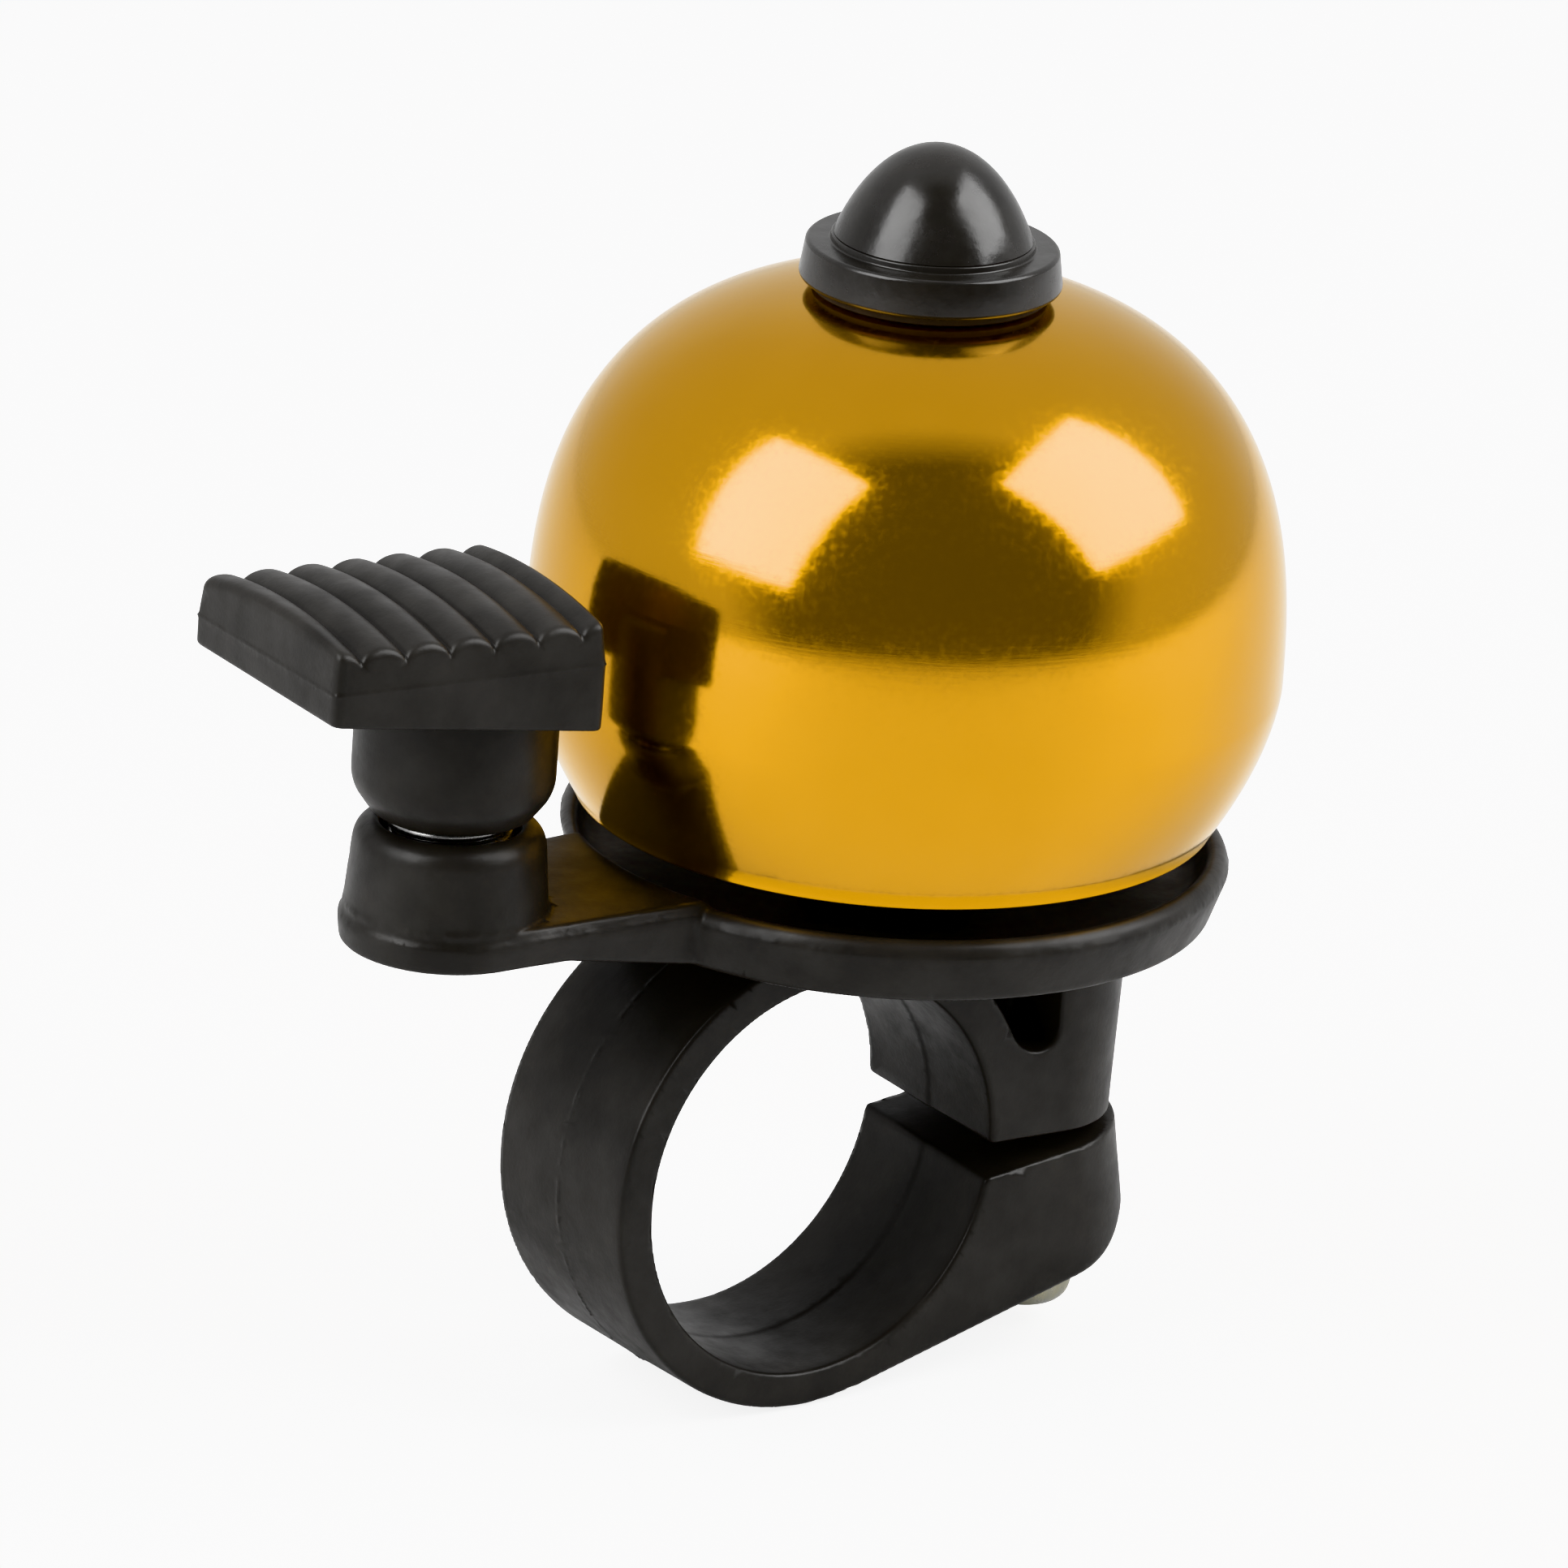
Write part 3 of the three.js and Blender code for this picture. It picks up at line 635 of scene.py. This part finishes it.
def gold_anodised():
    """Polished and dyed aluminium: spinning marks, faint dimples, specks and a flared rim edge."""
    material, nodes, links, bsdf = shader("gold_anodised")
    cloud = noise(nodes, links, 90, 3)
    colour = blended(nodes, links, spread(nodes, links, cloud, 0.3, 0.7, 0, 1), (0.60, 0.292, 0.008),
                     (0.64, 0.318, 0.015))
    links.new(colour, bsdf.inputs["Base Color"])
    bsdf.inputs["Metallic"].default_value = 1.0
    bsdf.inputs["Specular Tint"].default_value = (1.0, 0.95, 0.72, 1)
    rings = noise(nodes, links, 900, 3, 0.6, (0.25, 0.25, 4.0))
    dimples = noise(nodes, links, 420, 3)
    specks = noise(nodes, links, 2600, 4, 0.65)
    links.new(spread(nodes, links, specks, 0.45, 0.8, 0.12, 0.22), bsdf.inputs["Roughness"])
    place = nodes.new("ShaderNodeTexCoord")
    parts = nodes.new("ShaderNodeSeparateXYZ")
    links.new(place.outputs["Object"], parts.inputs["Vector"])
    flare_h = 1.2
    flare_top, flare_low = (DOME_LOW[2] + flare_h) * MM, (DOME_LOW[2] - flare_h) * MM
    flare = spread(nodes, links, parts.outputs["Z"], flare_top, flare_low, 0, 1, "SMOOTHSTEP")
    bump(nodes, links, bsdf, [
        (rings, 0.000010, 0.25), (dimples, 0.000016, 0.3), (specks, 0.000004, 0.35), (flare, 0.00055, 1.0),
    ])
    bsdf.inputs["Coat Weight"].default_value = 0.5
    bsdf.inputs["Coat Roughness"].default_value = 0.08
    bsdf.inputs["Coat IOR"].default_value = 1.5
    return material


def plated_steel(name, colour, tint, roughness=0.3):
    """Zinc-plated or drawn steel: a cloudy tint and short drawing marks."""
    material, nodes, links, bsdf = shader(name)
    cloud = noise(nodes, links, 700, 5)
    mixed = blended(nodes, links, spread(nodes, links, cloud, 0.35, 0.65, 0, 1), colour, tint)
    links.new(mixed, bsdf.inputs["Base Color"])
    bsdf.inputs["Metallic"].default_value = 1.0
    marks = noise(nodes, links, 2600, 5, 0.6, (1.0, 1.0, 0.25))
    worn = spread(nodes, links, marks, 0.3, 0.7, roughness - 0.08, roughness + 0.12)
    links.new(worn, bsdf.inputs["Roughness"])
    bump(nodes, links, bsdf, [(marks, 0.00001, 0.35)])
    return material


def fibre():
    material, nodes, links, bsdf = shader("fibre")
    flecks = noise(nodes, links, 1800, 6, 0.7)
    colour = blended(nodes, links, flecks, (0.014, 0.012, 0.011), (0.055, 0.047, 0.04))
    links.new(colour, bsdf.inputs["Base Color"])
    bsdf.inputs["Roughness"].default_value = 0.85
    bump(nodes, links, bsdf, [(flecks, 0.00004, 0.5)])
    return material


BLACK = black_plastic("black_plastic")
BLACK_SMOOTH = black_plastic("black_plastic_smooth", gloss=0.2, grain=0.2, specular=0.5)
GOLD = gold_anodised()
ZINC = plated_steel("zinc_steel", (0.34, 0.34, 0.31), (0.42, 0.40, 0.29))
WIRE = plated_steel("spring_wire", (0.40, 0.40, 0.39), (0.32, 0.32, 0.32), 0.28)
FIBRE = fibre()


def finish_piece(thing, material, slot, *nodes):
    """Gives a piece its finish and hides the CAD nodes that it stands for."""
    thing.data.materials.clear()
    thing.data.materials.append(material)
    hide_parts(*nodes)
    return thing


# ---------------------------------------------------------------- pieces
def make_moulding():
    low = [BASE_LOW[0], BASE_LOW[1], BAND_LOW[2]]
    thing = level_set("base_moulding", moulding_field, low, BASE_HIGH, voxel=0.15)
    finish_piece(thing, BLACK, "black_plastic", "base_body", "clamp_band")
    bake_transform(thing)


def make_dome():
    thing = revolved("dome_shell", dome_outline(), DOME_X, 320)
    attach(finish_piece(thing, GOLD, "gold_dome", "dome"), "base")


def make_cap():
    thing = revolved("cap_knob", cap_outline(), DOME_X, 224, closed=False)
    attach(finish_piece(thing, BLACK_SMOOTH, "black_plastic", "cap"), "base")


def make_washers():
    thin_outline = washer_outline("cap_washer", WASHER_HOLE_R, 0.04)
    thin = revolved("cap_washer_ring", thin_outline, DOME_X, 96)
    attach(finish_piece(thin, FIBRE, "fibre", "cap_washer"), "base")
    soft_outline = washer_outline("dome_seat_washer", WASHER_HOLE_R, 0.15)
    soft = revolved("seat_washer_ring", soft_outline, DOME_X, 96)
    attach(finish_piece(soft, FIBRE, "fibre", "dome_seat_washer"), "base")


def make_striker():
    half_x = PAD_OUT + PAD_X / 2
    low = [-half_x - PAD_SKEW, -PAD_Y / 2, STRIKER_Z]
    high = [half_x, PAD_Y / 2 + PAD_FAR, PAD_EDGE_Z + PAD_CROWN + 0.3]
    thing = level_set("striker_lever", striker_field, low, high, voxel=0.1)
    thing.data.transform(Matrix.Translation((ARM_X * MM, 0, 0)) @ Matrix.Rotation(PAD_TWIST, 4, "Z"))
    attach(finish_piece(thing, BLACK, "black_plastic", "striker"), "striker")


def make_spring():
    middle = (BOSS_TOP_Z + STRIKER_Z) / 2
    lower = coil("spring_lower", SPRING_LOW[2], middle)
    upper = coil("spring_upper", middle, SPRING_HIGH[2])
    finish_piece(lower, WIRE, "spring_steel", "striker_spring")
    finish_piece(upper, WIRE, "spring_steel", "striker_spring")
    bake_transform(lower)
    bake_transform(upper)


def make_screw():
    low = [-HEAD_R, -HEAD_R, SCREW_LOW[2]]
    high = [HEAD_R, HEAD_R, SCREW_HIGH[2]]
    thing = level_set("clamp_screw_pan", screw_field, low, high, voxel=0.075)
    thing.data.transform(Matrix.Translation((SCREW_X * MM, 0, 0)))
    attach(finish_piece(thing, ZINC, "zinc_steel", "clamp_screw"), "clamp_screw")


def finish_hidden_nodes():
    for name in ("centre_bolt", "clamp_nut"):
        NODES[name].data.materials.clear()
        NODES[name].data.materials.append(ZINC)


# ---------------------------------------------------------------- stage
def direction(azimuth, elevation):
    """Unit vector from the bell to a place in the room, from degrees. Azimuth 0 is -Y."""
    a, e = math.radians(azimuth), math.radians(elevation)
    return Vector((math.sin(a) * math.cos(e), -math.cos(a) * math.cos(e), math.sin(e)))


def make_floor():
    """A white sweep: its glow grows outwards, so that it meets the walls without a dark horizon."""
    bpy.ops.mesh.primitive_plane_add(size=3.0, location=(0, 0, (BAND_LOW[2] - 0.05) * MM))
    floor = bpy.context.object
    floor.name = "floor"
    material, nodes, links, bsdf = shader("floor_white")
    bsdf.inputs["Base Color"].default_value = (0.68, 0.68, 0.68, 1)
    bsdf.inputs["Roughness"].default_value = 0.6
    place = nodes.new("ShaderNodeTexCoord")
    reach = nodes.new("ShaderNodeVectorMath")
    reach.operation = "LENGTH"
    links.new(place.outputs["Object"], reach.inputs[0])
    glow = spread(nodes, links, reach.outputs["Value"], 0.12, 0.6, 0, 0.28)
    light = nodes.new("ShaderNodeLightPath")
    seen = spread(nodes, links, light.outputs["Is Camera Ray"], 0, 1, 0, 0.95)
    total = nodes.new("ShaderNodeMath")
    links.new(glow, total.inputs[0])
    links.new(seen, total.inputs[1])
    bsdf.inputs["Emission Color"].default_value = (1, 1, 1, 1)
    links.new(total.outputs["Value"], bsdf.inputs["Emission Strength"])
    floor.data.materials.append(material)


def area_light(name, azimuth, elevation, distance, width, height, power):
    """A softbox in the given direction that looks at the bell's middle."""
    target = Vector((0.004, 0, 0.03))
    out = direction(azimuth, elevation)
    data = bpy.data.lights.new(name, "AREA")
    data.shape = "RECTANGLE"
    data.size, data.size_y = width, height
    data.energy = power
    lamp = bpy.data.objects.new(name, data)
    lamp.location = target + out * distance
    lamp.rotation_euler = out.to_track_quat("Z", "Y").to_euler()
    lamp.visible_camera = False
    bpy.context.scene.collection.objects.link(lamp)


def make_world():
    """A pale grey room that the camera sees as white, a trace cooler overhead, with a dark opening on
    the side where the camera stands."""
    world = bpy.data.worlds.new("studio")
    bpy.context.scene.world = world
    world.use_nodes = True
    nodes, links = world.node_tree.nodes, world.node_tree.links
    background = nodes["Background"]
    place = nodes.new("ShaderNodeTexCoord")

    def toward(azimuth, elevation):
        """How far a ray turns towards the given direction, from -1 to 1."""
        facing = nodes.new("ShaderNodeVectorMath")
        facing.operation = "DOT_PRODUCT"
        facing.inputs[1].default_value = direction(azimuth, elevation)
        links.new(place.outputs["Generated"], facing.inputs[0])
        return facing.outputs["Value"]

    height = spread(nodes, links, toward(0, 90), 0.05, 0.75, 0, 1)
    walls = blended(nodes, links, height, (0.8, 0.8, 0.8), (0.8, 0.8, 0.81))
    opening = spread(nodes, links, toward(-28, 22), 0.40, 0.66, 0, 1)
    room = nodes.new("ShaderNodeMix")
    room.data_type = "RGBA"
    links.new(opening, room.inputs["Factor"])
    links.new(walls, room.inputs["A"])
    room.inputs["B"].default_value = (0.155, 0.155, 0.155, 1)
    light = nodes.new("ShaderNodeLightPath")
    mix = nodes.new("ShaderNodeMix")
    mix.data_type = "RGBA"
    links.new(light.outputs["Is Camera Ray"], mix.inputs["Factor"])
    links.new(room.outputs["Result"], mix.inputs["A"])
    mix.inputs["B"].default_value = (1, 1, 1, 1)
    links.new(mix.outputs["Result"], background.inputs["Color"])
    background.inputs["Strength"].default_value = 1.0


def make_camera():
    """The photograph's viewing angle: a long lens, a little above the bell, rolled a few degrees."""
    roll = math.radians(3.96)
    distance = 776.7
    aim = Vector((3.83, 5.39, 18.37))
    back = direction(-37.085, 19.759)
    right = Vector((0, 0, 1)).cross(back).normalized()
    up = back.cross(right)
    right, up = (
        right * math.cos(roll) + up * math.sin(roll),
        up * math.cos(roll) - right * math.sin(roll),
    )
    data = bpy.data.cameras.new("camera")
    data.sensor_width = 36
    data.lens = 328.8
    data.clip_start, data.clip_end = 0.01, 20
    camera = bpy.data.objects.new("camera", data)
    turn = Matrix((right, up, back)).transposed().to_4x4()
    camera.matrix_world = Matrix.Translation((aim + back * distance) * MM) @ turn
    bpy.context.scene.collection.objects.link(camera)
    bpy.context.scene.camera = camera


make_camera()
make_moulding()
make_dome()
make_cap()
make_washers()
make_striker()
make_spring()
make_screw()
finish_hidden_nodes()
make_floor()
make_world()
bpy.context.scene.view_settings.view_transform = "Khronos PBR Neutral"
area_light("key_left", azimuth=-91, elevation=37, distance=0.6, width=0.38, height=0.52, power=3.9)
area_light("key_right", azimuth=45, elevation=41, distance=0.6, width=0.45, height=0.48, power=4.1)
